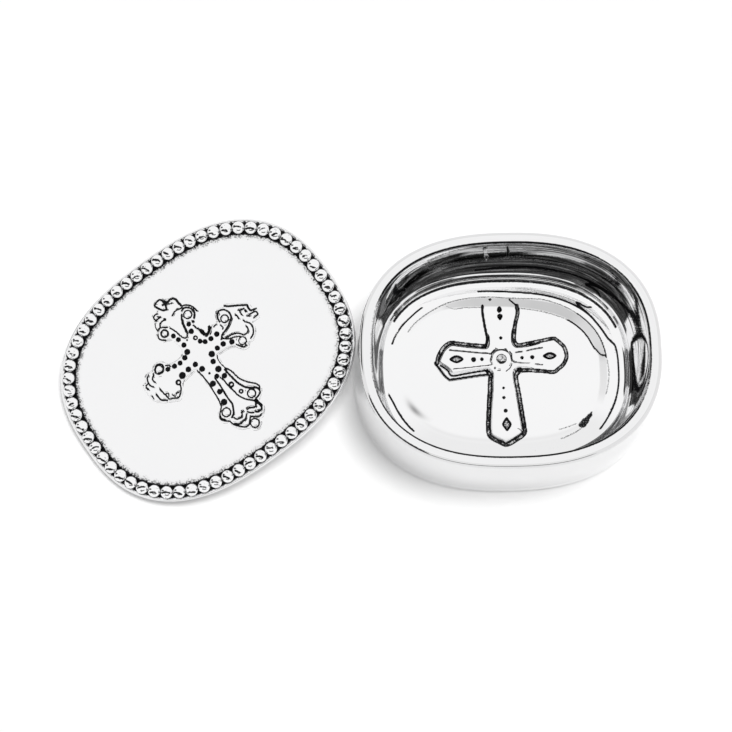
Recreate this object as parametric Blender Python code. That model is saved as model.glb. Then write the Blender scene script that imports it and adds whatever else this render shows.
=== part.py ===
"""Keepsake box of cast and polished metal, with a cross on its lid and another on its floor.

The tray is a deep squared oval with a flat rim and a coved floor. The lid is off: it lies face up
beside the tray, with its low edge on the table and its high edge against the tray's left wall.
"""

import math

import bmesh
import bpy
from mathutils import Matrix, Vector
from mathutils.bvhtree import BVHTree
from mathutils.geometry import interpolate_bezier

# Tray, in metres: the oval is measured at the rim, and the wall flares out below it
BOX_LENGTH = 0.114
BOX_WIDTH = 0.092
BOX_HEIGHT = 0.0369
OVAL_POWER = 2.42
RIM_WIDTH = 0.0047
RIM_ROUND = 0.0016
RIM_EASE = 0.0007
WALL_FLARE = 0.0024
FOOT_ROUND = 0.0022
INNER_LEAN = 0.004
COVE_WIDTH = 0.0094
COVE_RISE = 0.0019
FLOOR_THICKNESS = 0.0035

# Lid: plate, bead row and the flange that drops inside the tray's rim
END_OVERHANG = 0.0019
SIDE_OVERHANG = 0.0009
LID_POWER = 2.52
PLATE_THICKNESS = 0.003
PLATE_EASE = 0.0006
DOME_RISE = 0.0012
BEAD_DIAMETER = 0.0048
BEAD_GAP = 0.00015
BEAD_INSET = 0.0035
BEAD_RISE = 0.0002
CHANNEL_WIDTH = 0.0048
CHANNEL_DEPTH = 0.0006
CHANNEL_SLOPE = 0.0006
FLANGE_DEPTH = 0.0022
FLANGE_WIDTH = 0.002
SEAT_CLEARANCE = 0.0006

# Where the lid lies beside the tray
LID_TURN = math.radians(33.5)
LID_TILT = math.radians(12.1)
TILT_AXIS = math.radians(-46)
LID_ASIDE = 0.0032
LEAN_GAP = 0.0003

# Cross on the tray's floor: pointed arms in a sunk border, a boss, and a marquise in each arm
FLOOR_CROSS_X = -0.0004
FLOOR_CROSS_Y = 0.004
FLOOR_HEAD = 0.0247
FLOOR_ARM = 0.0248
FLOOR_FOOT = 0.0334
FLOOR_CROTCH = 0.0048
FLOOR_END_HALF = 0.0058
FLOOR_POINT = 0.0036
FLOOR_FOOT_POINT = 0.0048
FLOOR_TIP_HALF = 0.0006
FLOOR_RELIEF = 0.0008
BORDER_WIDTH = 0.0018
BORDER_DEPTH = 0.0005
BOSS_RADIUS = 0.0041
BOSS_RISE = 0.0006
DIMPLE_RADIUS = 0.0017
DIMPLE_DEPTH = 0.0008
FLOOR_DOT_PITCH = 0.0037
FLOOR_DOT_RADIUS = 0.0006
FLOOR_DOT_DEPTH = 0.0005
MARQUISE_LENGTH = 0.0056
MARQUISE_WIDTH = 0.003
MARQUISE_DEPTH = 0.0007
MARQUISE_FROM_TIP = 0.0064

# Cross on the lid: waisted arms, each ending in two scrolls, two lobes and a ball
LID_CROSS_X = -0.0003
LID_CROSS_Y = 0.0027
UPRIGHT_LEAN = math.radians(4)
ARMS_LEAN = math.radians(0.5)
LID_HEAD = 0.0252
LID_ARM = 0.0249
LID_FOOT = 0.0345
LID_CROTCH = 0.0046
WAIST_HALF = 0.0042
NECK_HALF = 0.0052
SHOULDER_HALF = 0.0056
WEB_HALF = 0.0044
POINT_HALF = 0.0012
LID_RELIEF = 0.001
SCROLL_RADIUS = 0.0028
SCROLL_SPREAD = 0.006
SCROLL_FROM_TIP = 0.0098
EYE_RADIUS = 0.0013
EYE_DEPTH = 0.0006
LOBE_RADIUS = 0.0024
LOBE_SPREAD = 0.0042
LOBE_FROM_TIP = 0.0034
TIP_RADIUS = 0.0019
BUTTON_RISE = 0.0017
DOT_RADIUS = 0.00085
DOT_DEPTH = 0.0007
DOT_START = 0.0048
DOT_PITCH = 0.0029
FOOT_DOT_PITCH = 0.004
DOT_INSET = 0.0015

# Both crosses
SIDE_SLOPE = 0.0006
ROOT_DEPTH = 0.0008
PIT_OVERRUN = 0.00015

OVAL_SEGMENTS = 72
DOME_SIDES = 8
PIT_SIDES = 8
DOME_SHARES = (0.78, 0.5, 0.2)
APPROACH_STEPS = 60
LEVEL_NORMAL = 0.985
METAL_COLOUR = (0.86, 0.86, 0.87, 1)


def clear_scene():
    for thing in list(bpy.data.objects):
        bpy.data.objects.remove(thing, do_unlink=True)


def oval(half_length, half_width, power, offset, height):
    """One ring round a squared oval, moved outwards by offset along its normals."""
    ring = []
    for step in range(OVAL_SEGMENTS):
        turn = math.tau * step / OVAL_SEGMENTS
        along, across = math.cos(turn), math.sin(turn)
        size = abs(along / half_length) ** power + abs(across / half_width) ** power
        point = Vector((along, across)) * size ** (-1 / power)
        normal = Vector((
            math.copysign(abs(point.x / half_length) ** (power - 1) / half_length, along),
            math.copysign(abs(point.y / half_width) ** (power - 1) / half_width, across),
        ))
        point += normal.normalized() * offset
        ring.append(Vector((point.x, point.y, height)))
    return ring


def tray_oval(offset, height):
    return oval(BOX_LENGTH / 2, BOX_WIDTH / 2, OVAL_POWER, offset, height)


def lid_oval(offset, height):
    half_length = BOX_LENGTH / 2 + END_OVERHANG
    half_width = BOX_WIDTH / 2 + SIDE_OVERHANG
    return oval(half_length, half_width, LID_POWER, offset, height)


def arc(offset, height, radius, start, end, steps):
    """Profile points on an arc about (offset, height), angles in degrees from outwards."""
    turns = [math.radians(start + (end - start) * step / steps) for step in range(steps + 1)]
    return [(offset + radius * math.cos(t), height + radius * math.sin(t)) for t in turns]


def sweep(start, start_handle, end_handle, end, steps):
    """Profile points on a cubic curve, without its two ends."""
    corners = [Vector((offset, height, 0)) for offset, height in (start, start_handle, end_handle, end)]
    return [(p.x, p.y) for p in interpolate_bezier(*corners, steps + 1)[1:-1]]


def new_object(name, shape, material=None):
    """Smooth shaded, but flat where it is nearly level, so that cuts there leave no smears."""
    mesh = bpy.data.meshes.new(name)
    shape.to_mesh(mesh)
    shape.free()
    mesh.shade_smooth()
    mesh.set_sharp_from_angle(angle=math.radians(35))
    for face in mesh.polygons:
        face.use_smooth = abs(face.normal.z) < LEVEL_NORMAL
    if material:
        mesh.materials.append(material)
    made = bpy.data.objects.new(name, mesh)
    bpy.context.scene.collection.objects.link(made)
    return made


def loft(rings):
    """A closed shape through rings of equal count, counter-clockwise seen from its far end."""
    shape = bmesh.new()
    layers = [[shape.verts.new(point) for point in ring] for ring in rings]
    for lower, upper in zip(layers, layers[1:]):
        for here in range(len(lower)):
            there = (here + 1) % len(lower)
            shape.faces.new((lower[here], lower[there], upper[there], upper[here]))
    shape.faces.new(layers[0][::-1])
    shape.faces.new(layers[-1])
    return shape


def add_solid(shape, rings, summit):
    """Closes a stack of rings with a flat foot and a single summit point, inside one shape."""
    layers = [[shape.verts.new(point) for point in ring] for ring in rings]
    last = shape.verts.new(summit)
    for lower, upper in zip(layers, layers[1:]):
        for here in range(len(lower)):
            there = (here + 1) % len(lower)
            shape.faces.new((lower[here], lower[there], upper[there], upper[here]))
    for here in range(len(layers[-1])):
        shape.faces.new((layers[-1][here], layers[-1][(here + 1) % len(layers[-1])], last))
    shape.faces.new(layers[0][::-1])


def circle(place, radius, height, turn, sides):
    turns = [turn + math.tau * side / sides for side in range(sides)]
    return [place + Vector((radius * math.cos(t), radius * math.sin(t), height)) for t in turns]


def domes(places, radius, rise, bands, eye=0, dip=0):
    """Round-topped buttons on short stems, with a dished eye where one is asked for."""
    shape = bmesh.new()
    last_lift = math.acos(eye / radius)
    for place, turn in places:
        rings = [circle(place, radius, -ROOT_DEPTH - rise / 2, turn, DOME_SIDES)]
        for band in range(bands + 1 if eye else bands):
            lift = last_lift * band / bands
            rings.append(circle(place, radius * math.cos(lift), rise * math.sin(lift), turn, DOME_SIDES))
        add_solid(shape, rings, place + Vector((0, 0, rise * math.sin(last_lift) - dip)))
    return shape


def hollows(places, radius, depth, narrow=1, pointed=False):
    """Pits like upturned cones; a pointed one has a marquise outline along its turn."""
    shape = bmesh.new()
    flare = radius * (depth + PIT_OVERRUN) / depth
    for place, turn in places:
        ring = []
        for side in range(PIT_SIDES):
            angle = -math.tau * side / PIT_SIDES
            across = math.sin(angle) * narrow
            if pointed:
                across *= abs(math.sin(angle))
            corner = Matrix.Rotation(turn, 3, "Z") @ Vector((math.cos(angle), across, 0))
            ring.append(place + corner * flare + Vector((0, 0, PIT_OVERRUN)))
        add_solid(shape, [ring], place - Vector((0, 0, depth)))
    return shape


def guide(name, shape):
    """A shape that a body is joined to or cut by; it stays as a hidden wire."""
    made = new_object(name, shape)
    made.hide_render = True
    made.display_type = "WIRE"
    return made


def combine(body, operation, guides):
    """Joins the guides to the body in one step, or cuts them out of it."""
    group = bpy.data.collections.new(f"{body.name}_{operation.lower()}")
    bpy.context.scene.collection.children.link(group)
    for tool in guides:
        bpy.context.scene.collection.objects.unlink(tool)
        group.objects.link(tool)
        tool.parent = body
    modifier = body.modifiers.new(group.name, "BOOLEAN")
    modifier.operation = operation
    modifier.solver = "EXACT"
    modifier.operand_type = "COLLECTION"
    modifier.collection = group


def metal():
    material = bpy.data.materials.new("polished_cast_metal")
    material.use_nodes = True
    shader = material.node_tree.nodes["Principled BSDF"]
    shader.inputs["Base Color"].default_value = METAL_COLOUR
    shader.inputs["Metallic"].default_value = 1
    shader.inputs["Roughness"].default_value = 0.12
    return material


def arm_direction(turn):
    along = Vector((math.cos(turn), math.sin(turn)))
    return along, Vector((-along.y, along.x))


def side_edge(shape, place, inward, low, top):
    """The lower and upper end of an edge up a cross's side; the upper one stands further in."""
    head = place + inward
    return shape.verts.new((*place, low)), shape.verts.new((*head, top(head)))


def cross_shape(centre, arms, crotch, slope, low, top):
    """A cross in one piece: arms of (turn, stations) in turn order, round a square heart."""
    shape = bmesh.new()
    directions = [arm_direction(turn)[0] for turn, _ in arms]
    heart = []
    for here, there in zip(directions, directions[1:] + directions[:1]):
        corner = here + there
        heart.append(side_edge(shape, centre + corner * crotch, -corner * slope, low, top))
    for number, (turn, stations) in enumerate(arms):
        along, across = arm_direction(turn)
        right, left = heart[number - 1], heart[number]
        for distance, half in stations:
            middle = centre + along * distance
            ease = across * min(slope, half / 2)
            next_right = side_edge(shape, middle - across * half, ease, low, top)
            next_left = side_edge(shape, middle + across * half, -ease, low, top)
            shape.faces.new((right[1], next_right[1], next_left[1], left[1]))
            shape.faces.new((left[0], next_left[0], next_right[0], right[0]))
            shape.faces.new((right[0], next_right[0], next_right[1], right[1]))
            shape.faces.new((next_left[0], left[0], left[1], next_left[1]))
            right, left = next_right, next_left
        shape.faces.new((right[0], left[0], left[1], right[1]))
    shape.faces.new([upper for _, upper in heart])
    shape.faces.new([lower for lower, _ in heart][::-1])
    bmesh.ops.triangulate(shape, faces=shape.faces)
    return shape


def tray_profile():
    """The tray's section from under its floor, up the outside, over the rim and down inside."""
    foot = arc(WALL_FLARE - FOOT_ROUND, FOOT_ROUND, FOOT_ROUND, -90, 0, 3)
    rim_start = (0, BOX_HEIGHT - RIM_ROUND)
    wall_height = BOX_HEIGHT - RIM_ROUND - FOOT_ROUND
    outside = sweep(
        foot[-1],
        (WALL_FLARE, FOOT_ROUND + wall_height / 3),
        (WALL_FLARE / 3, FOOT_ROUND + wall_height * 2 / 3),
        rim_start,
        5,
    )
    rim = arc(-RIM_ROUND, BOX_HEIGHT - RIM_ROUND, RIM_ROUND, 0, 90, 3)
    rim += arc(-RIM_WIDTH + RIM_EASE, BOX_HEIGHT - RIM_EASE, RIM_EASE, 90, 180, 2)
    wall_foot = (-RIM_WIDTH - INNER_LEAN, FLOOR_THICKNESS + COVE_RISE)
    inner_height = BOX_HEIGHT - RIM_EASE - wall_foot[1]
    inside = sweep(
        rim[-1],
        (-RIM_WIDTH, wall_foot[1] + inner_height * 2 / 3),
        (wall_foot[0] + INNER_LEAN / 3, wall_foot[1] + inner_height / 8),
        wall_foot,
        6,
    )
    floor_edge = (wall_foot[0] - COVE_WIDTH, FLOOR_THICKNESS)
    cove = sweep(
        wall_foot,
        (wall_foot[0] - COVE_WIDTH / 12, FLOOR_THICKNESS + COVE_RISE / 3),
        (wall_foot[0] - COVE_WIDTH / 3, FLOOR_THICKNESS),
        floor_edge,
        4,
    )
    return foot + outside + rim + inside + [wall_foot] + cove + [floor_edge]


def floor_arms():
    """Turn, reach and length of the point of each arm of the floor cross, in turn order."""
    return (
        (0, FLOOR_ARM, FLOOR_POINT),
        (math.pi / 2, FLOOR_HEAD, FLOOR_POINT),
        (math.pi, FLOOR_ARM, FLOOR_POINT),
        (-math.pi / 2, FLOOR_FOOT, FLOOR_FOOT_POINT),
    )


def floor_cross(grow, slope, low, top):
    """The floor cross, grown on every side for the sunk border that it stands in."""
    centre = Vector((FLOOR_CROSS_X, FLOOR_CROSS_Y))
    arms = []
    for turn, reach, point in floor_arms():
        shoulder = (reach - point + grow / 2, FLOOR_END_HALF + grow)
        arms.append((turn, (shoulder, (reach + grow, FLOOR_TIP_HALF + grow / 2))))
    return cross_shape(centre, arms, FLOOR_CROTCH + grow, slope, low, lambda _: top)


def floor_place(turn, distance):
    place = arm_direction(turn)[0] * distance
    top = FLOOR_THICKNESS + FLOOR_RELIEF
    return Vector((place.x + FLOOR_CROSS_X, place.y + FLOOR_CROSS_Y, top))


def marquises():
    """The pointed hollows near the ends of the floor cross's arms."""
    places = [(floor_place(turn, reach - MARQUISE_FROM_TIP), turn) for turn, reach, _ in floor_arms()]
    narrow = MARQUISE_WIDTH / MARQUISE_LENGTH
    return hollows(places, MARQUISE_LENGTH / 2, MARQUISE_DEPTH, narrow, pointed=True)


def floor_dots():
    """Small drilled dots in line between the boss and each marquise."""
    places = []
    for turn, reach, _ in floor_arms():
        first = BOSS_RADIUS + FLOOR_DOT_PITCH
        last = reach - MARQUISE_FROM_TIP - MARQUISE_LENGTH / 2
        count = int((last - first) / FLOOR_DOT_PITCH)
        places += [(floor_place(turn, first + FLOOR_DOT_PITCH * dot), 0) for dot in range(count + 1)]
    return hollows(places, FLOOR_DOT_RADIUS, FLOOR_DOT_DEPTH)


def build_tray(material):
    rings = [tray_oval(offset, height) for offset, height in tray_profile()]
    tray = new_object("tray", loft(rings), material)
    low = FLOOR_THICKNESS - BORDER_DEPTH
    top = FLOOR_THICKNESS + FLOOR_RELIEF
    combine(tray, "DIFFERENCE", [guide("border", floor_cross(BORDER_WIDTH, 0, low, top))])
    cross = guide("floor_cross", floor_cross(0, SIDE_SLOPE, low - ROOT_DEPTH, top))
    combine(cross, "DIFFERENCE", [guide("marquises", marquises()), guide("floor_dots", floor_dots())])
    heart = [(floor_place(0, 0), 0)]
    boss = guide("boss", domes(heart, BOSS_RADIUS, BOSS_RISE, 3, DIMPLE_RADIUS, DIMPLE_DEPTH))
    combine(tray, "UNION", [cross, boss])
    return tray


def field_inset():
    """From the lid's edge to the plain field inside the bead channel."""
    return BEAD_INSET + CHANNEL_WIDTH / 2 + CHANNEL_SLOPE


def dome_height(point):
    """The field's height above the underside, at a point of the lid."""
    half_length = BOX_LENGTH / 2 + END_OVERHANG - field_inset()
    half_width = BOX_WIDTH / 2 + SIDE_OVERHANG - field_inset()
    share = abs(point.x / half_length) ** LID_POWER + abs(point.y / half_width) ** LID_POWER
    return PLATE_THICKNESS + DOME_RISE * (1 - min(1, share) ** (2 / LID_POWER))


def lid_rings():
    """Rings from the underside's pocket, round the flange and the edge, to the crown."""
    seat = RIM_WIDTH + SEAT_CLEARANCE
    rings = [
        tray_oval(-seat - FLANGE_WIDTH, 0),
        tray_oval(-seat - FLANGE_WIDTH, -FLANGE_DEPTH),
        tray_oval(-seat, -FLANGE_DEPTH),
        tray_oval(-seat, 0),
    ]
    edge = arc(-PLATE_EASE, PLATE_EASE, PLATE_EASE, -90, 0, 2)
    edge += arc(-PLATE_EASE, PLATE_THICKNESS - PLATE_EASE, PLATE_EASE, 0, 90, 2)
    channel_floor = PLATE_THICKNESS - CHANNEL_DEPTH
    edge += [
        (-BEAD_INSET + CHANNEL_WIDTH / 2, channel_floor),
        (-BEAD_INSET - CHANNEL_WIDTH / 2, channel_floor),
        (-field_inset(), PLATE_THICKNESS),
    ]
    rings += [lid_oval(offset, height) for offset, height in edge]
    for share in DOME_SHARES:
        height = PLATE_THICKNESS + DOME_RISE * (1 - share * share)
        field = lid_oval(-field_inset(), 0)
        rings.append([Vector((point.x * share, point.y * share, height)) for point in field])
    return rings


def bead_places():
    """Places spread evenly round the bead row, each turned so that a corner faces the next bead."""
    ring = lid_oval(-BEAD_INSET, PLATE_THICKNESS + BEAD_RISE)
    runs = list(zip(ring, ring[1:] + ring[:1]))
    total = sum((there - here).length for here, there in runs)
    count = int(total / (BEAD_DIAMETER + BEAD_GAP))
    places = []
    passed = 0
    for here, there in runs:
        run = there - here
        while len(places) < count and total * len(places) / count < passed + run.length:
            share = (total * len(places) / count - passed) / run.length
            places.append((here + run * share, math.atan2(run.y, run.x)))
        passed += run.length
    return places


def lid_stations(reach):
    """One arm of the lid's cross, from its waist out to the ball at its tip."""
    scroll = reach - SCROLL_FROM_TIP
    return (
        (scroll / 2, WAIST_HALF),
        (scroll - SCROLL_RADIUS, NECK_HALF),
        (scroll, SHOULDER_HALF),
        (reach - (SCROLL_FROM_TIP + LOBE_FROM_TIP) / 2, WEB_HALF),
        (reach - LOBE_FROM_TIP, WEB_HALF),
        (reach, POINT_HALF),
    )


def lid_arms():
    """Turn and reach of the four arms of the lid's cross, in turn order."""
    return (
        (ARMS_LEAN, LID_ARM),
        (math.pi / 2 + UPRIGHT_LEAN, LID_HEAD),
        (math.pi + ARMS_LEAN, LID_ARM),
        (-math.pi / 2 + UPRIGHT_LEAN, LID_FOOT),
    )


def lid_cross():
    centre = Vector((LID_CROSS_X, LID_CROSS_Y))
    arms = [(turn, lid_stations(reach)) for turn, reach in lid_arms()]
    low = PLATE_THICKNESS - ROOT_DEPTH
    return cross_shape(
        centre, arms, LID_CROTCH, SIDE_SLOPE, low, lambda place: dome_height(place) + LID_RELIEF
    )


def lid_place(turn, distance, side):
    """A place on the domed field, at a distance along an arm and to one side of it."""
    along, across = arm_direction(turn)
    place = along * distance + across * side + Vector((LID_CROSS_X, LID_CROSS_Y))
    return Vector((place.x, place.y, dome_height(place)))


def pairs(from_tip, spread):
    """A place on each side of every arm, near its end."""
    return [
        (lid_place(turn, reach - from_tip, side), turn)
        for turn, reach in lid_arms()
        for side in (-spread, spread)
    ]


def half_at(stations, distance):
    """An arm's half width at a distance from the heart of the cross."""
    for (near, near_half), (far, far_half) in zip(stations, stations[1:]):
        if distance <= far:
            share = (distance - near) / (far - near)
            return near_half + (far_half - near_half) * share
    return stations[-1][1]


def lid_dots():
    """Drilled dots in a row along both edges of every arm, as far as its scrolls."""
    places = []
    for turn, reach in lid_arms():
        pitch = FOOT_DOT_PITCH if reach == LID_FOOT else DOT_PITCH
        stations = ((LID_CROTCH, LID_CROTCH), *lid_stations(reach))
        last = reach - SCROLL_FROM_TIP - SCROLL_RADIUS
        for dot in range(1 + int((last - DOT_START) / pitch)):
            distance = DOT_START + pitch * dot
            row = half_at(stations, distance) - DOT_INSET
            places += [(lid_place(turn, distance, side), 0) for side in (-row, row)]
    lift = Vector((0, 0, LID_RELIEF))
    return hollows([(place + lift, turn) for place, turn in places], DOT_RADIUS, DOT_DEPTH)


def build_lid(material):
    lid = new_object("lid", loft(lid_rings()), material)
    cross = guide("lid_cross", lid_cross())
    combine(cross, "DIFFERENCE", [guide("lid_dots", lid_dots())])
    scrolls = pairs(SCROLL_FROM_TIP, SCROLL_SPREAD)
    lobes = pairs(LOBE_FROM_TIP, LOBE_SPREAD)
    tips = [(lid_place(turn, reach, 0), turn) for turn, reach in lid_arms()]
    combine(lid, "UNION", [
        cross,
        guide("beads", domes(bead_places(), BEAD_DIAMETER / 2, BEAD_DIAMETER / 2, 3)),
        guide("scrolls", domes(scrolls, SCROLL_RADIUS, BUTTON_RISE, 2, EYE_RADIUS, EYE_DEPTH)),
        guide("lobes", domes(lobes, LOBE_RADIUS, BUTTON_RISE, 2)),
        guide("tips", domes(tips, TIP_RADIUS, TIP_RADIUS, 3)),
    ])
    return lid


def tree_of(thing, matrix):
    points = [matrix @ vertex.co for vertex in thing.data.vertices]
    faces = [tuple(face.vertices) for face in thing.data.polygons]
    return points, BVHTree.FromPolygons(points, faces)


def lean_lid(lid, tray):
    """Stands the tilted lid on the table and against the tray's left wall, a hair clear of both."""
    axis = Vector((math.cos(TILT_AXIS), math.sin(TILT_AXIS), 0))
    turned = Matrix.Rotation(LID_TILT, 4, axis) @ Matrix.Rotation(LID_TURN, 4, "Z")
    lowest = min((turned @ vertex.co).z for vertex in lid.data.vertices)
    start = -BOX_LENGTH - BOX_WIDTH
    place = Vector((start, LID_ASIDE, LEAN_GAP - lowest))
    tray_points, tray_tree = tree_of(tray, Matrix())
    for _ in range(APPROACH_STEPS):
        lid_points, lid_tree = tree_of(lid, Matrix.Translation(place) @ turned)
        near = min(tray_tree.find_nearest(point)[3] for point in lid_points)
        near = min(near, min(lid_tree.find_nearest(point)[3] for point in tray_points))
        place.x += near - LEAN_GAP
    lid.matrix_world = Matrix.Translation(place) @ turned


def build():
    clear_scene()
    material = metal()
    tray = build_tray(material)
    lid = build_lid(material)
    lean_lid(lid, tray)


build()
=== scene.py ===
import math

import bpy
import numpy as np
from mathutils import Matrix, Vector


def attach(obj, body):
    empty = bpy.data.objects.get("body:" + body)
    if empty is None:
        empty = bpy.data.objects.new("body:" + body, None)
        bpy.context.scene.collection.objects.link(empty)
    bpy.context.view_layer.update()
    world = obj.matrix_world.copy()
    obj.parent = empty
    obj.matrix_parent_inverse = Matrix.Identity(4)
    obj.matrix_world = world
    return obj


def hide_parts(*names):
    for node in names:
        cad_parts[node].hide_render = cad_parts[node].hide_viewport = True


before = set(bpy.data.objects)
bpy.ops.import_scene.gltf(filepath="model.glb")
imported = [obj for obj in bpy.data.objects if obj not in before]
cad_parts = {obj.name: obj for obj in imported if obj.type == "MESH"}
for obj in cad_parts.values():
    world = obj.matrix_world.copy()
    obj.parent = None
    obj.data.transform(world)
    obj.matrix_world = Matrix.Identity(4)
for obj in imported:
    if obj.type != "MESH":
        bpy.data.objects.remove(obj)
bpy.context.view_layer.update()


# Camera: high in front of the table, looking down at the open tray and the face of the lid, at the
# photograph's angle and with its slight turn.
CAMERA_PLACE = (-0.0573, -0.1638, 0.6696)
CAMERA_AIM = (0.0042, 0.24189, -0.9703)
CAMERA_ROLL = math.radians(-1)


def placed(name, data):
    """A new object in the scene."""
    made = bpy.data.objects.new(name, data)
    bpy.context.scene.collection.objects.link(made)
    return made


camera_data = bpy.data.cameras.new("camera")
camera_data.sensor_width = 36
camera_data.lens = 85.5
camera_data.clip_start = 0.01
camera = placed("camera", camera_data)
camera_forward = Vector(CAMERA_AIM).normalized()
camera_right = Vector((math.cos(CAMERA_ROLL), math.sin(CAMERA_ROLL), 0))
camera_up = camera_right.cross(camera_forward)
camera_turn = Matrix((camera_right, camera_up, -camera_forward)).transposed()
camera.matrix_world = Matrix.Translation(CAMERA_PLACE) @ camera_turn.to_4x4()
bpy.context.scene.camera = camera


# Tray: one aluminium casting, a squared oval with a flat rim and walls that flare out to the foot.
# Inside, a cove runs into the floor, which carries a cross cast in low relief in a sunk border.
BOX_LENGTH = 0.114
BOX_WIDTH = 0.092
BOX_HEIGHT = 0.0369
RIM_WIDTH = 0.0047
RIM_ROUND = 0.0016
LIP_ROUND = 0.0007
FOOT_FLARE = 0.0024
FOOT_ROUND = 0.0022
FLOOR_HEIGHT = 0.0035
# Insets from the rim's outline: the inner wall's foot with its height, the cove's end, the grid's edge
WALL_FOOT = (-0.0087, 0.0054)
FLOOR_EDGE = -0.0181
GRID_EDGE = -0.0125
TRAY_SQUARENESS = 2.42
TRAY_GRID = 0.0003
COARSE_GRID = 0.0004


def squared_oval(half_length, half_width, power, offset, steps=360):
    """Points round a squared oval, moved outwards by offset along its normals."""
    turn = np.arange(steps) * math.tau / steps
    along, across = np.cos(turn), np.sin(turn)
    reach = (abs(along / half_length) ** power + abs(across / half_width) ** power) ** (-1 / power)
    x, y = along * reach, across * reach
    out_x = np.sign(x) * abs(x / half_length) ** (power - 1) / half_length
    out_y = np.sign(y) * abs(y / half_width) ** (power - 1) / half_width
    size = np.hypot(out_x, out_y)
    return np.stack((x + out_x / size * offset, y + out_y / size * offset), axis=1)


def tray_oval(offset, steps=360):
    return squared_oval(BOX_LENGTH / 2, BOX_WIDTH / 2, TRAY_SQUARENESS, offset, steps)


def arc(offset, height, radius, start, end, steps):
    """Section points on an arc about (offset, height), in degrees from outwards."""
    turns = np.radians(np.linspace(start, end, steps + 1))
    return [(offset + radius * math.cos(t), height + radius * math.sin(t)) for t in turns]


def sweep(start, start_handle, end_handle, end, steps):
    """Section points on a cubic curve, without its start."""
    corners = np.array((start, start_handle, end_handle, end))
    run = []
    for t in np.linspace(0, 1, steps + 1)[1:]:
        weights = np.array(((1 - t) ** 3, 3 * t * (1 - t) ** 2, 3 * t * t * (1 - t), t ** 3))
        run.append(tuple(weights @ corners))
    return run


def turns_of(ring):
    """The turn of each point of a ring about the middle, rising all the way round."""
    turns = np.arctan2(ring[:, 1], ring[:, 0])
    return np.where(turns < -1e-9, turns + math.tau, turns)


def reach_of(ring, turns):
    """How far a ring lies from the middle, at any turns."""
    return np.interp(turns, turns_of(ring), np.hypot(ring[:, 0], ring[:, 1]), period=math.tau)


def grid_lines(low, high, fine_low, fine_high, fine):
    """Grid lines, close together over the carved part and wider outside it."""
    inside = np.linspace(fine_low, fine_high, int((fine_high - fine_low) / fine) + 1)
    before = np.linspace(low, fine_low, int((fine_low - low) / COARSE_GRID) + 1)[:-1]
    after = np.linspace(fine_high, high, int((high - fine_high) / COARSE_GRID) + 1)[1:]
    return np.concatenate((before, inside, after))


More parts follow.
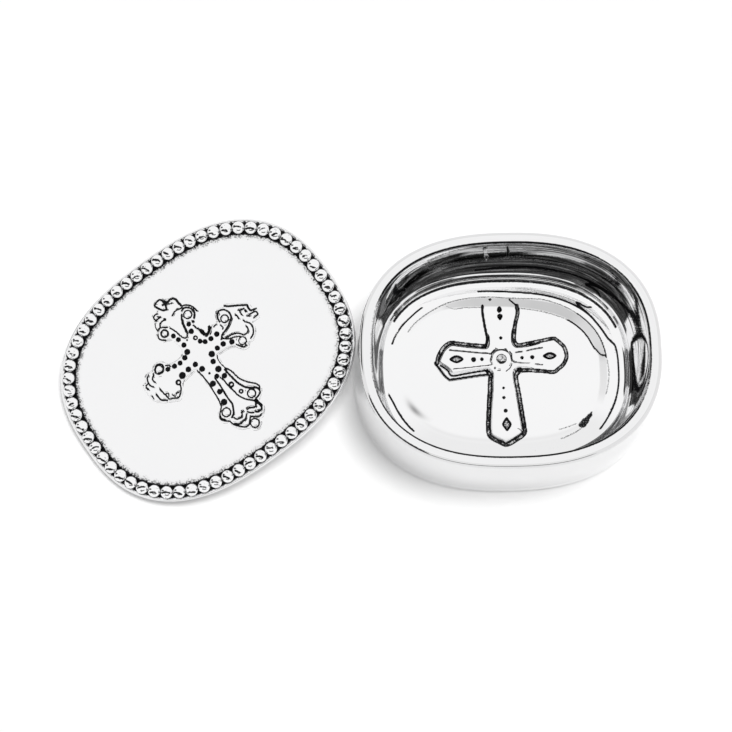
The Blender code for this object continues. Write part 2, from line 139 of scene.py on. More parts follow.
def casting(name, rings, heights, columns, rows, surface, rings_marks):
    """A solid from lofted rings, underside first, filled inside its last ring by a fine grid.

    surface gives the height, darkness, tarnish and scoring at places of the grid, and rings_marks
    the darkness, tarnish and scoring at points of the rings. Some marks are painted shade and painted reflection.
    """
    border = rings[-1]
    steps = len(border)
    x, y = np.meshgrid(columns, rows, indexing="ij")
    height, *grid_marks = surface(x.ravel(), y.ravel())
    slopes = np.gradient(height.reshape(x.shape), columns, rows)
    close = np.hypot(x, y) < 0.992 * reach_of(border, np.arctan2(y, x))
    cells = close[:-1, :-1] & close[1:, :-1] & close[1:, 1:] & close[:-1, 1:]
    number = np.arange(x.size).reshape(x.shape)
    quads = np.stack(
        (number[:-1, :-1], number[1:, :-1], number[1:, 1:], number[:-1, 1:]), axis=-1
    )[cells]
    used = np.unique(quads)
    place_of = np.full(x.size, -1)
    place_of[used] = np.arange(len(used)) + steps * len(rings)
    quads = place_of[quads]
    # The grid's stepped edge, counter-clockwise
    runs = np.concatenate([quads[:, [side, (side + 1) % 4]] for side in range(4)])
    forward = {(int(a), int(b)) for a, b in runs}
    onward = {a: b for a, b in forward if (b, a) not in forward}
    on_grid = np.stack((x.ravel()[used], y.ravel()[used]), axis=1)
    flat = np.concatenate((np.zeros((steps * len(rings), 2)), on_grid))
    edge = [max(onward, key=lambda v: (flat[v][0], -abs(flat[v][1])))]
    while onward[edge[-1]] != edge[0]:
        edge.append(onward[edge[-1]])
    edge_turns = np.arctan2(flat[edge][:, 1], flat[edge][:, 0])
    edge_turns = np.where(edge_turns < edge_turns[0] - 1e-9, edge_turns + math.tau, edge_turns)
    edge_turns = np.append(edge_turns, edge_turns[0] + math.tau)
    last = steps * (len(rings) - 1)
    border_turns = np.append(turns_of(border), math.tau)
    faces = []
    here = there = 0
    while here < len(edge) or there < steps:
        inner, outer = edge[here % len(edge)], last + there % steps
        if there == steps or (here < len(edge) and edge_turns[here + 1] < border_turns[there + 1]):
            here += 1
            faces.append((inner, outer, edge[here % len(edge)]))
        else:
            there += 1
            faces.append((inner, outer, last + there % steps))
    loft = []
    for layer in range(len(rings) - 1):
        start = steps * layer
        for step in range(steps):
            after = (step + 1) % steps
            loft.append((start + step, start + after, start + steps + after, start + steps + step))
    foot = tuple(range(steps))[::-1]
    points = np.concatenate(
        [np.column_stack((ring, np.full(steps, level))) for ring, level in zip(rings, heights)]
        + [np.column_stack((on_grid, height[used]))]
    )
    mesh = bpy.data.meshes.new(name)
    mesh.from_pydata(points.tolist(), [], [foot] + loft + faces + quads.tolist())
    mesh.shade_smooth()
    # The grid's normals come from its heights; the rings keep their own but for the last
    normals = np.zeros(points.shape)
    reach = 0.0002
    side, ahead = (surface(border[:, 0] + a, border[:, 1] + b)[0] for a, b in ((reach, 0), (0, reach)))
    back, behind = (surface(border[:, 0] - a, border[:, 1] - b)[0] for a, b in ((reach, 0), (0, reach)))
    normals[last:last + steps] = np.column_stack((back - side, behind - ahead, np.full(steps, 2 * reach)))
    leans = [-slope.ravel()[used] for slope in slopes]
    normals[last + steps:] = np.column_stack((*leans, np.ones(len(used))))
    sizes = np.linalg.norm(normals, axis=1, keepdims=True)
    mesh.normals_split_custom_set_from_vertices((normals / np.maximum(sizes, 1e-9)).tolist())
    ring_marks = rings_marks(*points[:steps * len(rings)].T)
    for label, ring_mark, grid_mark in zip(("oxide_painted_shade_and_reflection", "tarnish_and_painted_reflection", "streaks_and_painted_reflection"), ring_marks, grid_marks):
        values = np.concatenate((ring_mark, grid_mark[used])).astype(np.float32)
        mesh.attributes.new(label, "FLOAT", "POINT").data.foreach_set("value", values)
    return placed(name, mesh)


def smooth_step(value):
    share = np.clip(value, 0, 1)
    return share * share * (3 - 2 * share)


def stroke(distance, soft=0.35):
    """1 inside a mark and 0 outside it, from the distance inside its edge, soft over that width."""
    return smooth_step(0.5 + distance / soft)


def rounded_run(points, closed):
    """A smooth curve through carved points, in short straight pieces.

    points is a run of numbers, x and y in turn.
    """
    corners = np.reshape(points, (-1, 2)).astype(float)
    if closed:
        corners = np.vstack((corners[-1], corners, corners[:2]))
    else:
        corners = np.vstack((2 * corners[0] - corners[1], corners, 2 * corners[-1] - corners[-2]))
    run = []
    for a, b, c, d in zip(corners, corners[1:], corners[2:], corners[3:]):
        for t in np.linspace(0, 1, 4, endpoint=False):
            bend, twist = 2 * a - 5 * b + 4 * c - d, 3 * b - a - 3 * c + d
            run.append(0.5 * (2 * b + (c - a) * t + bend * t ** 2 + twist * t ** 3))
    run.append(corners[-2])
    return np.array(run)


def away_from(run, x, y, reach):
    """Distance of each place from a run, in millimetres, worked out only within reach of it."""
    best = np.full(x.shape, 99.0)
    near = (
        (x > run[:, 0].min() - reach) & (x < run[:, 0].max() + reach)
        & (y > run[:, 1].min() - reach) & (y < run[:, 1].max() + reach)
    )
    px, py, found = x[near], y[near], best[near]
    for (ax, ay), (bx, by) in zip(run, run[1:]):
        dx, dy = bx - ax, by - ay
        share = np.clip(((px - ax) * dx + (py - ay) * dy) / (dx * dx + dy * dy + 1e-12), 0, 1)
        found = np.minimum(found, np.hypot(px - ax - share * dx, py - ay - share * dy))
    best[near] = found
    return best


def within(outline, x, y):
    """Distance inside a closed outline in millimetres, negative outside it."""
    run = rounded_run(outline, True)
    inside = np.zeros(x.shape, dtype=bool)
    for (ax, ay), (bx, by) in zip(run, run[1:]):
        if ay != by:
            inside ^= ((ay > y) != (by > y)) & (x < (bx - ax) * (y - ay) / (by - ay) + ax)
    away = np.minimum(away_from(run, x, y, 6), 6)
    return np.where(inside, away, -away)


# The cross on the floor, traced in millimetres: its body, the sunk border, engraved lines, drilled dots
# and marquises. Each is a run of points, x and y side by side, and a stroke's width stands first.
FLOOR_BODY = (
    3,27.6, 4.3,26.3, 5.2,25.2, 5.3,23.5, 5.1,21.8, 4.4,19.3, 3.9,16.8, 3.6,14, 3.7,11, 4.6,9.3, 6.3,9,
    10.2,9.4, 15.2,10.3, 19.6,11.1, 20.8,10.4, 22,9.2, 23.3,7.8, 23.9,6, 23.7,4.3, 22.7,2.2, 20.9,.7, 19.2,-.4,
    15,0, 10,.4, 5.7,.6, 3.9,-.6, 3.7,-2.6, 3.8,-5.1, 4.4,-9.1, 5,-13.6, 5.6,-18.6, 6.1,-22.4, 6.1,-24.8,
    5.6,-26, 3.5,-27.3, 1.1,-28.8, -.5,-29.2, -2,-28.4, -4.5,-27, -5.7,-25.9, -6,-24, -5.9,-21, -5.6,-17,
    -5.2,-12, -4.8,-8, -4.6,-4, -4.6,-1.2, -5.5,.1, -7,.4, -10,.2, -15,-.6, -19.6,-1.3, -20.7,-.6, -21.3,.4,
    -22.8,1.7, -24.2,2.6, -25.2,3.4, -24.8,5, -23.4,7.8, -21.9,9.3, -20.3,10.2, -18,9.9, -14,9.3, -10,8.9,
    -6.6,8.7, -5.6,10.2, -5.4,12, -5.3,14, -5.8,16.7, -6.3,20.2, -6.9,23.6, -6.8,25.6, -4.5,27.4, -1,28.6,
    1.5,28.6,
)
FLOOR_BORDER = (
    (.75, 3.2,28.5, 4.5,27.3, 6,26),
    (1.7, 6,26, 6.3,24, 6.1,22, 5.4,19.5, 4.9,17, 4.6,14, 4.6,11.5, 6,9.8, 10,10.4, 15,11.3, 19.8,12.2, 21,11.8,
     22.8,10.2, 24.2,8.5, 24.9,6, 24.8,4, 23.5,1.5, 21.5,-.2, 19.5,-1.5, 15,-1, 10,-.6, 6.2,-.4),
    (1.8, 6.2,-.4, 4.7,-2.5, 4.8,-5, 5.4,-9, 6,-13.5, 6.6,-18.5, 7.1,-22.5, 7.3,-25.3, 6.3,-26.8, 4,-28.3,
     1.5,-29.8, -.5,-30.3, -2.5,-29.3, -5,-28, -6.6,-26.5, -7,-24, -6.9,-21, -6.6,-17, -6.2,-12, -5.8,-8,
     -5.6,-4, -5.3,-2.5, -6.2,-1),
    (.9, -6.5,-2, -9,-2.2, -15,-3, -21,-3.8, -22,-3.5, -24,-1.5, -27,3),
    (.8, -6.3,-.8, -7,-.4, -10,-.7, -15,-1.5, -20,-2.3, -21.5,-1.5, -22,-.3, -23.5,1, -25,2),
    (1.7, -26.3,3, -25.8,5.5, -24.2,8.5, -22.5,10.3, -20.5,11.2, -18,10.9, -14,10.3, -10,9.9, -7.2,9.6),
    (1.1, -7.2,9.6, -6.4,11, -6.3,13.5, -6.8,16.5, -7.3,20, -7.7,23.5, -7.6,26.2),
)
FLOOR_LINES = (
    (.4, -21.3,8.2, -15,7.5, -10,6.9, -5.2,6.4, -4.9,5, -5.4,3.5, -5,1.8, -10,1.2, -15,.7, -20,.3),
    (.4, 4.8,6.8, 7.6,7.1), (.4, 9.2,7.4, 12,8.1, 15.7,8.7), (.4, 4.2,2.9, 7,2.4, 10.3,2.3),
    (.4, 12.5,2, 15.5,1.6), (.7, -4.6,6.7, -3.4,7.9), (.5, -3,8.5, -2.3,8.1), (.5, .6,8.3, 1.3,8),
    (.45, 2.5,7, 3.3,6, 3.2,5, 3.6,3.3, 4.2,2.9), (.4, 3.2,2, 2.5,.5, 1.5,-.4, .8,-1), (.4, -2.6,-.6, -1.5,-.6),
    (.35, 4.5,-24, 6.5,-25.3),
)
FLOOR_DOTS = (
    (-11.9, 4, 1), (-8.6, 4.1, .7), (7.3, 4.5, .65), (11.4, 4.7, .8), (-.8, 12.8, .6), (-.5, -7.7, .5),
    (-.5, -11.6, .65), (0, -16.9, .8), (-4.5, 28.8, .4), (-3.6, .4, .35),
)
MARQUISES = (
    (-21.5,4.2, -20.2,5.4, -18.6,5.9, -17,5.4, -15.8,4.2, -17,3.1, -18.6,2.6, -20.2,3.1),
    (15.5,5.1, 16.8,6.2, 18.3,6.7, 19.9,6.3, 21.1,5.2, 19.9,4.1, 18.3,3.7, 16.8,4.1),
    (.3,-19.5, -.9,-20.8, -1.6,-22.4, -.8,-24, .3,-25.2, 1.4,-24, 2.2,-22.4, 1.4,-20.8),
    (-.9,26, -1.9,24.6, -.9,23.2, .1,24.6), (-.8,22.8, -1.9,22, -.8,20.2, .3,22),
)
BOSS = (-0.9, 3.9, 4.1)
# How high the cross stands and how deep each kind of mark is cut, in millimetres
CROSS_RELIEF, BORDER_DEPTH, LINE_DEPTH, DOT_DEPTH, MARQUISE_DEPTH = 0.8, 0.45, 0.2, 0.45, 0.55


def cove_sections():
    wide, deep = WALL_FOOT[0] - FLOOR_EDGE, WALL_FOOT[1] - FLOOR_HEIGHT
    first = (WALL_FOOT[0] - wide / 12, FLOOR_HEIGHT + deep / 3)
    return sweep(WALL_FOOT, first, (WALL_FOOT[0] - wide / 3, FLOOR_HEIGHT), (FLOOR_EDGE, FLOOR_HEIGHT), 40)


# Marks on the cove round the floor, traced as turns in degrees from the right and millimetres in from
# the edge. A dark line is its width and strength, then turn and depth, side by side, at each point.
COVE_LINES = (
    (.75, .68, 20,9.7, 50,10, 90,10, 120,9.9, 155,9.6),
    (.42, .85, 326,11.4, 330,11.8, 336,12.1, 345,12, 357,11.8, 370,12, 373,12.8),
    (.5, 1, 373,12.8, 377,14.3, 385,15.1, 392,15, 404,14.9), (.45, 1, 404,14.9, 420,14.6, 432,14.5),
    (.45, 1, 432,14.5, 445,14.2, 457,13.8, 466,13.6),
    (.5, .9, 395,12.2, 397,13.3, 402,13.4, 399,14.4, 393,14.9),
    (.4, .9, 141,13.6, 149,13.7, 156,13.1, 162,12.5, 166,12.1), (.45, .9, 192,10.7, 197,11.7, 206,12.1, 214,12),
    (.45, .5, 345,16.2, 357,15.6, 366,16.2), (.45, .7, 366,16.3, 370,16.5, 377,17, 387,17.6, 397,17.5),
    (.45, .52, 397,17.5, 410,16.9, 420,16.5, 432,16.9, 445,16.8, 460,16.2, 475,16, 487,16.1, 502,16.8,
     517,16.5),
    (.6, .68, 367,16.8, 368,18.4, 372,20.1), (.4, .9, 372,20.3, 377,21.1, 387,21.7, 397,21.7),
    (.45, .5, 397,21.7, 410,21.6, 430,21.1, 470,20.2, 480,19.6, 487,19.2, 490,17.3),
    (2.3, .66, 322.3,16.9, 325.8,17.6), (1.5, .66, 325,17.5, 330,18), (.5, .66, 329,18, 332,18.3),
    (.4, .5, 310,19.1, 321,18.7), (.45, .5, 307,15.4, 315,15.7, 320,16),
)
# A grey band of painted reflection that fades out: turn, upper edge, lower edge and strength
PAINTED_REFLECTION_BAND = (
    (338, 16, 19, 0), (345, 16.2, 19.4, .14), (363, 16, 19.5, .18), (367, 16.4, 19.4, .3), (372, 16.6, 20.3, .26),
    (378, 17, 21.1, .22), (388, 17.6, 21.7, .26), (398, 17.5, 21.7, .38), (410, 16.9, 21.6, .38), (432, 16.9, 21, .34),
    (470, 16, 20.2, .34), (480, 16.1, 19.6, .32), (488, 16.2, 19, .28), (494, 16.4, 18.6, .08), (520, 16, 18, 0),
)
# On the cove one degree of turn is about this many millimetres long
DEGREE_LENGTH = 0.63
SMUDGE_TURN, SMUDGE_DEPTH = 203, 17.9


def cove_marks(x, y):
    """Darkness of the marks on the cove, and their grey: a band of painted reflection, a pale haze and a smudge."""
    round_turns = np.arctan2(y, x)
    far = np.hypot(x, y)
    depths = np.arange(0, 25, 3)
    reaches = [reach_of(tray_oval(-depth / 1000), round_turns) for depth in depths]
    inset = np.zeros(far.shape)
    for depth, wide, narrow in zip(depths, reaches, reaches[1:]):
        inset = np.where(far <= wide, depth + 3 * np.clip((wide - far) / (wide - narrow), 0, 1), inset)
    turns = np.degrees(round_turns) % 360
    dark, grey = np.zeros(x.shape), np.zeros(x.shape)
    for lap in (turns, turns + 360):
        for width, strength, *marks in COVE_LINES:
            run = rounded_run(np.reshape(marks, (-1, 2)) * (DEGREE_LENGTH, 1), False)
            away = away_from(run, lap * DEGREE_LENGTH, inset, 2)
            dark = np.maximum(dark, strength * stroke(width / 2 + 0.17 - away, 0.5))
        # The grey band is painted reflection
        at, top, foot, strength = np.transpose(PAINTED_REFLECTION_BAND)
        top, foot = np.interp(lap, at, top), np.interp(lap, at, foot)
        shown = smooth_step((inset - top) / 0.5) * smooth_step((foot - inset) / 0.6)
        grey = np.maximum(grey, np.interp(lap, at, strength, left=0, right=0) * shown)
        # A pale haze along the front with a soft edge line, and a smudge at its left end
        front = smooth_step((lap - 200) / 25) * smooth_step((338 - lap) / 12)
        edge = np.exp(-((inset - 17.4) / 0.8) ** 2)
        grey = np.maximum(grey, front * (0.09 * smooth_step((17.5 - inset) / 2) + 0.1 * edge))
        along = lap - SMUDGE_TURN
        smudge = np.exp(-(along / 6) ** 2 - ((inset - SMUDGE_DEPTH - 0.11 * along) / 1.2) ** 2)
        grey = np.maximum(grey, (0.62 + 0.045 * along) * smudge * (abs(along) < 12))
    return dark, grey


def tray_floor(x, y):
    """Height, darkness, grey (tarnish and a band of painted reflection) and scoring of the tray's floor."""
    turns, far = np.arctan2(y, x), np.hypot(x, y)
    height = np.full(x.shape, FLOOR_HEIGHT)
    sections = cove_sections()
    reaches = [reach_of(tray_oval(offset), turns) for offset, _ in sections]
    for near, away, (_, low), (_, high) in zip(reaches[1:], reaches, sections[1:], sections):
        share = np.clip((far - near) / (away - near), 0, 1)
        height = np.where(far > near, low + (high - low) * share, height)
    dark, grey = cove_marks(x, y)
    x, y = x * 1000, y * 1000
    inside = within(FLOOR_BODY, x, y)
    # The cross and its border run out gently towards the head and the right arm
    gentle = np.maximum(np.clip((y - 5) / 19, 0, 1), np.clip((x - 5) / 13, 0, 1))
    relief = CROSS_RELIEF * (1 - gentle) * stroke(inside, 0.9 + 1.6 * gentle)
    dark *= 1 - stroke(inside, 1)
    for width, *points in FLOOR_BORDER:
        away = away_from(rounded_run(points, False), x, y, 2)
        relief -= BORDER_DEPTH * (1 - gentle) * smooth_step(1.3 - away / (width * 0.62)) * (inside < 0.2)
        uneven = 0.43 + 0.12 * np.sin(1.3 * x + 1.6 * np.sin(0.9 * y)) * np.cos(0.8 * y - 0.5 * x)
        worn = 1 - uneven * smooth_step(1.6 - away / (0.26 * width)) * (width > 1.2)
        dark = np.maximum(dark, worn * stroke(width / 2 - 0.02 - away))
    for width, *points in FLOOR_LINES:
        away = away_from(rounded_run(points, False), x, y, 1)
        relief -= LINE_DEPTH * smooth_step(1.4 - away / width)
        dark = np.maximum(dark, 0.9 * stroke(width / 2 - away, 0.3))
    for dot_x, dot_y, radius in FLOOR_DOTS:
        away = np.hypot(x - dot_x, y - dot_y)
        relief -= DOT_DEPTH * smooth_step(1.3 - away / radius)
        dark = np.maximum(dark, stroke(radius - away, 0.4))
    for outline in MARQUISES:
        depth = within(outline, x, y)
        relief -= MARQUISE_DEPTH * smooth_step(0.2 + depth / 1.2)
        dark = np.maximum(dark, stroke(depth) * (1 - 0.5 * smooth_step((depth - 0.5) / 0.5)))
    # The boss is a low dome with a ringed hollow in its middle
    away = np.hypot(x - BOSS[0], y - BOSS[1])
    relief += 0.6 * np.sqrt(np.clip(1 - (away / BOSS[2]) ** 2, 0, 1))
    relief -= 0.75 * smooth_step(1.2 - away / 2)
    dark = np.maximum(dark, 0.8 * smooth_step(1 - abs(away - 1.9) / 0.4) + 0.47 * smooth_step((1.8 - away) / 0.4))
    return height + relief / 1000, np.clip(dark, 0, 1), grey, np.zeros(x.shape)


def tray_sections():
    """The casting's outline from under its foot, up over the rim and down to the floor's grid."""
    wall_top = BOX_HEIGHT - RIM_ROUND
    rise = wall_top - FOOT_ROUND
    sections = arc(FOOT_FLARE - FOOT_ROUND, FOOT_ROUND, FOOT_ROUND, -90, 0, 8)
    low_handle, high_handle = (FOOT_FLARE, FOOT_ROUND + rise / 3), (FOOT_FLARE / 3, FOOT_ROUND + rise * 2 / 3)
    sections += sweep(sections[-1], low_handle, high_handle, (0, wall_top), 14)
    sections += arc(-RIM_ROUND, wall_top, RIM_ROUND, 0, 90, 10)[1:]
    sections.append((0.001 - RIM_WIDTH, BOX_HEIGHT))
    lip = BOX_HEIGHT - LIP_ROUND
    sections += arc(LIP_ROUND - RIM_WIDTH, lip, LIP_ROUND, 90, 180, 6)
    rise = lip - WALL_FOOT[1]
    sections += sweep(
        sections[-1],
        (-RIM_WIDTH, WALL_FOOT[1] + rise * 2 / 3),
        (WALL_FOOT[0] + 0.004 / 3, WALL_FOOT[1] + rise / 8),
        WALL_FOOT,
        30,
    )
    return sections + [section for section in cove_sections() if section[0] > GRID_EDGE]


def new_group(name, inputs, outputs):
    """An empty shader node group with named sockets: its tree, input node and output node."""
    group = bpy.data.node_groups.new(name, "ShaderNodeTree")
    for label, default in inputs:
        socket = group.interface.new_socket(label, in_out="INPUT", socket_type="NodeSocketFloat")
        socket.default_value = default
    for label in outputs:
        group.interface.new_socket(label, in_out="OUTPUT", socket_type="NodeSocketFloat")
    return group, group.nodes.new("NodeGroupInput"), group.nodes.new("NodeGroupOutput")


def math_node(tree, operation, first, second=0.5, third=None):
    node = tree.nodes.new("ShaderNodeMath")
    node.operation = operation
    for place, value in enumerate((first, second, third)):
        if value is None:
            continue
        if isinstance(value, (int, float)):
            node.inputs[place].default_value = value
        else:
            tree.links.new(value, node.inputs[place])
    return node.outputs[0]


def fade_node(tree, value, start, end):
    """A smooth change from 0 at start to 1 at end."""
    node = tree.nodes.new("ShaderNodeMapRange")
    node.interpolation_type = "SMOOTHSTEP"
    node.inputs["From Min"].default_value = start
    node.inputs["From Max"].default_value = end
    tree.links.new(value, node.inputs["Value"])
    return node.outputs["Result"]


def mark_node(tree, label):
    """A mark kept on the mesh's points."""
    node = tree.nodes.new("ShaderNodeAttribute")
    node.attribute_name = label
    return node.outputs["Fac"]


def group_node(tree, group, **settings):
    """A shader group with some inputs set, such as Skin_Scale for its input Skin Scale."""
    node = tree.nodes.new("ShaderNodeGroup")
    node.node_tree = group
    for label, value in settings.items():
        node.inputs[label.replace("_", " ")].default_value = value
    return node


def mix_node(tree, share, first, second):
    """A colour between the first, which can be a socket, and the second."""
    node = tree.nodes.new("ShaderNodeMix")
    node.data_type = "RGBA"
    tree.links.new(share, node.inputs["Factor"])
    if isinstance(first, tuple):
        node.inputs["A"].default_value = (*first, 1)
    else:
        tree.links.new(first, node.inputs["A"])
    node.inputs["B"].default_value = (*second, 1)
    return node.outputs["Result"]


def noise_node(tree, vector, scale, detail, rough=0.5):
    node = tree.nodes.new("ShaderNodeTexNoise")
    node.inputs["Detail"].default_value = detail
    node.inputs["Roughness"].default_value = rough
    tree.links.new(vector, node.inputs["Vector"])
    if isinstance(scale, (int, float)):
        node.inputs["Scale"].default_value = scale
    else:
        tree.links.new(scale, node.inputs["Scale"])
    return node.outputs["Fac"]


# Dark antiquing: black oxide left in every recess when the face was polished, with a ragged edge
# The same mask also lays the painted shade and painted reflections marked on the mesh
antiquing, entry, leave = new_group(
    "dark_antiquing", (("Recess", 0), ("Grain Scale", 2500), ("Raggedness", 0.5)), ("Mask",)
)
where = antiquing.nodes.new("ShaderNodeTexCoord").outputs["Object"]
grain = noise_node(antiquing, where, entry.outputs["Grain Scale"], 3, 0.6)
wobble = math_node(antiquing, "MULTIPLY", math_node(antiquing, "SUBTRACT", grain, 0.5), entry.outputs["Raggedness"])
level = math_node(antiquing, "ADD", entry.outputs["Recess"], wobble)
antiquing.links.new(fade_node(antiquing, level, 0.3, 0.65), leave.inputs["Mask"])

# Polished casting: a faint cloudiness from buffing, the fine skin of the cast metal under it, and the
# level streaks that the wheel leaves round a wall
STREAK_SCALE = (22, 22, 640)
polish, entry, leave = new_group(
    "polished_casting", (("Cloud Scale", 60), ("Skin Scale", 900), ("Skin Share", 0.3), ("Streak Share", 0)),
    ("Cloud", "Height", "Streak"),
)
where = polish.nodes.new("ShaderNodeTexCoord").outputs["Object"]
cloud = noise_node(polish, where, entry.outputs["Cloud Scale"], 4)
skin = noise_node(polish, where, entry.outputs["Skin Scale"], 3)
polish.links.new(cloud, leave.inputs["Cloud"])
shared = math_node(polish, "MULTIPLY_ADD", skin, entry.outputs["Skin Share"], cloud)
drawn = polish.nodes.new("ShaderNodeVectorMath")
drawn.operation = "MULTIPLY"
drawn.inputs[1].default_value = STREAK_SCALE
polish.links.new(where, drawn.inputs[0])
streak = noise_node(polish, drawn.outputs["Vector"], 1, 3)
polish.links.new(streak, leave.inputs["Streak"])
shared = math_node(polish, "MULTIPLY_ADD", streak, entry.outputs["Streak Share"], shared)
polish.links.new(shared, leave.inputs["Height"])


BLACK_OXIDE = (0.012, 0.012, 0.013)
SKIN_DEPTH = 0.0002


def metal_material(name, bright, gloss, raggedness, grain, cloud_scale, skin_scale, bump, streaks=0):
    """Polished aluminium, cloudy from buffing, dark, tarnished or scored where the mesh is marked so; some marks are
    painted shade and painted reflection.
    """
    material = bpy.data.materials.new(name)
    material.use_nodes = True
    tree = material.node_tree
    shader = tree.nodes["Principled BSDF"]
    shader.inputs["Metallic"].default_value = 1
    mask = group_node(tree, antiquing, Grain_Scale=grain, Raggedness=raggedness)
    # This mark holds black oxide, and also painted shade under the tray's lip and painted reflections
    tree.links.new(mark_node(tree, "oxide_painted_shade_and_reflection"), mask.inputs["Recess"])
    mask = mask.outputs["Mask"]
    buffed = group_node(tree, polish, Cloud_Scale=cloud_scale, Skin_Scale=skin_scale, Streak_Share=streaks)
    cloud = buffed.outputs["Cloud"]
    tone = mix_node(tree, cloud, tuple(part * 0.97 for part in bright), bright)
    patchy = math_node(tree, "MULTIPLY_ADD", cloud, 0.5, 0.75)
    # Tarnish, with a grey band of painted reflection on the tray's cove
    patchy = math_node(tree, "MULTIPLY", mark_node(tree, "tarnish_and_painted_reflection"), patchy)
    dark_part = math_node(tree, "MAXIMUM", mask, patchy)
    # Dark streak lines where the mesh is marked: wheel streaks, their darkness partly painted reflection
    line = fade_node(tree, buffed.outputs["Streak"], 0.53, 0.61)
    streak_and_reflection_lines = math_node(tree, "MULTIPLY", line, mark_node(tree, "streaks_and_painted_reflection"))
    dark_part = math_node(tree, "MAXIMUM", dark_part, streak_and_reflection_lines)
    tree.links.new(mix_node(tree, dark_part, tone, BLACK_OXIDE), shader.inputs["Base Color"])
    dull = math_node(tree, "MULTIPLY_ADD", mask, 0.35, gloss[0])
    rough = math_node(tree, "MULTIPLY_ADD", cloud, gloss[1] - gloss[0], dull)
    tree.links.new(rough, shader.inputs["Roughness"])
    relief = tree.nodes.new("ShaderNodeBump")
    relief.inputs["Strength"].default_value = bump
    relief.inputs["Distance"].default_value = SKIN_DEPTH
    tree.links.new(buffed.outputs["Height"], relief.inputs["Height"])
    tree.links.new(relief.outputs["Normal"], shader.inputs["Normal"])
    return material


def tray_marks(x, y, z):
    """Painted shade under the rim's inner lip, a painted reflection on its outer edge, the cove's marks, a duller
    outside and a wall with wheel streaks whose darkness is partly painted reflection.
    """
    turns = np.arctan2(y, x)
    far, degrees = np.hypot(x, y), np.degrees(turns) % 360
    inner = far < reach_of(tray_oval(-0.0035), turns)
    outer = far > reach_of(tray_oval(-0.0016), turns)
    # A dark line of painted shade under the rim's inner lip, stronger at some turns
    strength = np.interp(degrees, (0, 20, 40, 60, 150, 165, 185, 200, 230, 270, 320, 340, 360),
                         (.7, .8, .6, 1, .9, .35, .4, .6, .85, 1, 1, .5, .7))
    from_lip = abs(far - reach_of(tray_oval(-0.0043), turns)) * 1000
    dark = strength * smooth_step(1.8 - from_lip / 0.27) * (z > 0.03)
    # A thin dark line of painted reflection on the rim's outer edge, front left
    line = smooth_step((degrees - 193) / 8) * smooth_step((236 - degrees) / 8)
    dark = np.maximum(dark, 0.8 * line * smooth_step(1.4 - abs(z - (BOX_HEIGHT - 0.00015)) / 0.00015) * outer)
    low = (z < 0.006) & inner
    cove_dark, cove_grey = cove_marks(x[low], y[low])
    dark[low] = np.maximum(dark[low], cove_dark)
    grey = np.where(outer, 0.17, 0.05) * (z > 0.006) * ((z > BOX_HEIGHT - 0.0008) | outer)
    grey[low] = np.maximum(grey[low], cove_grey)
    patch = smooth_step((degrees - 327) / 4) * smooth_step((339 - degrees) / 4) * smooth_step((0.017 - z) / 0.004)
    grey = np.maximum(grey, 0.4 * patch * inner * (z > 0.005))
    # Wheel streaks on the inner wall, their darkness partly painted reflection, stronger at some turns
    wall = inner * smooth_step((z - 0.0065) / 0.003) * smooth_step((0.0363 - z) / 0.001)
    streaks_and_painted_reflection = wall * np.interp(degrees, (0, 15, 40, 120, 150, 180, 215, 235, 300, 330, 360),
                               (.35, .8, .9, .8, .9, .55, .5, .4, .4, .6, .35))
    return dark, grey, streaks_and_painted_reflection


tray_sizes = tray_sections()
tray = casting(
    "tray_casting",
    [tray_oval(offset) for offset, _ in tray_sizes],
    [height for _, height in tray_sizes],
    grid_lines(-0.0445, 0.0445, -0.0285, 0.0265, TRAY_GRID),
    grid_lines(-0.0335, 0.0335, -0.0325, 0.0305, TRAY_GRID),
    tray_floor,
    tray_marks,
)
tray.data.materials.append(metal_material(
    "tray_polished_aluminium", bright=(0.93, 0.93, 0.935), gloss=(0.01, 0.04), raggedness=0.8, grain=2000,
    cloud_scale=45, skin_scale=1200, bump=0.05, streaks=0.7,
))
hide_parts("tray")
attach(tray, "tray")


# Lid: one casting, a flat-edged oval plate with a gently domed field inside a shallow channel. A cross
# of waisted arms, scrolls and balls stands on it in low relief, and a flange below drops into the tray.
LEAN_AXIS = math.radians(-46)
LID_PLACE = (
    Matrix.Translation((-0.116028, 0.0032, 0.013349))
    @ Matrix.Rotation(math.radians(12.1), 4, (math.cos(LEAN_AXIS), math.sin(LEAN_AXIS), 0))
    @ Matrix.Rotation(math.radians(33.5), 4, "Z")
)
LID_HALF_LENGTH = BOX_LENGTH / 2 + 0.00182
LID_HALF_WIDTH = BOX_WIDTH / 2 + 0.00082
LID_SQUARENESS = 2.52
LID_STEPS = 715
LID_GRID = 0.00031
PLATE = 0.003
PLATE_ROUND = 0.0006
FIELD_EDGE = -0.0058
FIELD_DOME = 0.0012
BEAD_COUNT = 65
BEAD_RADIUS = 0.0024
BEAD_HEIGHT = 0.0032
BEAD_INSET = -0.0035
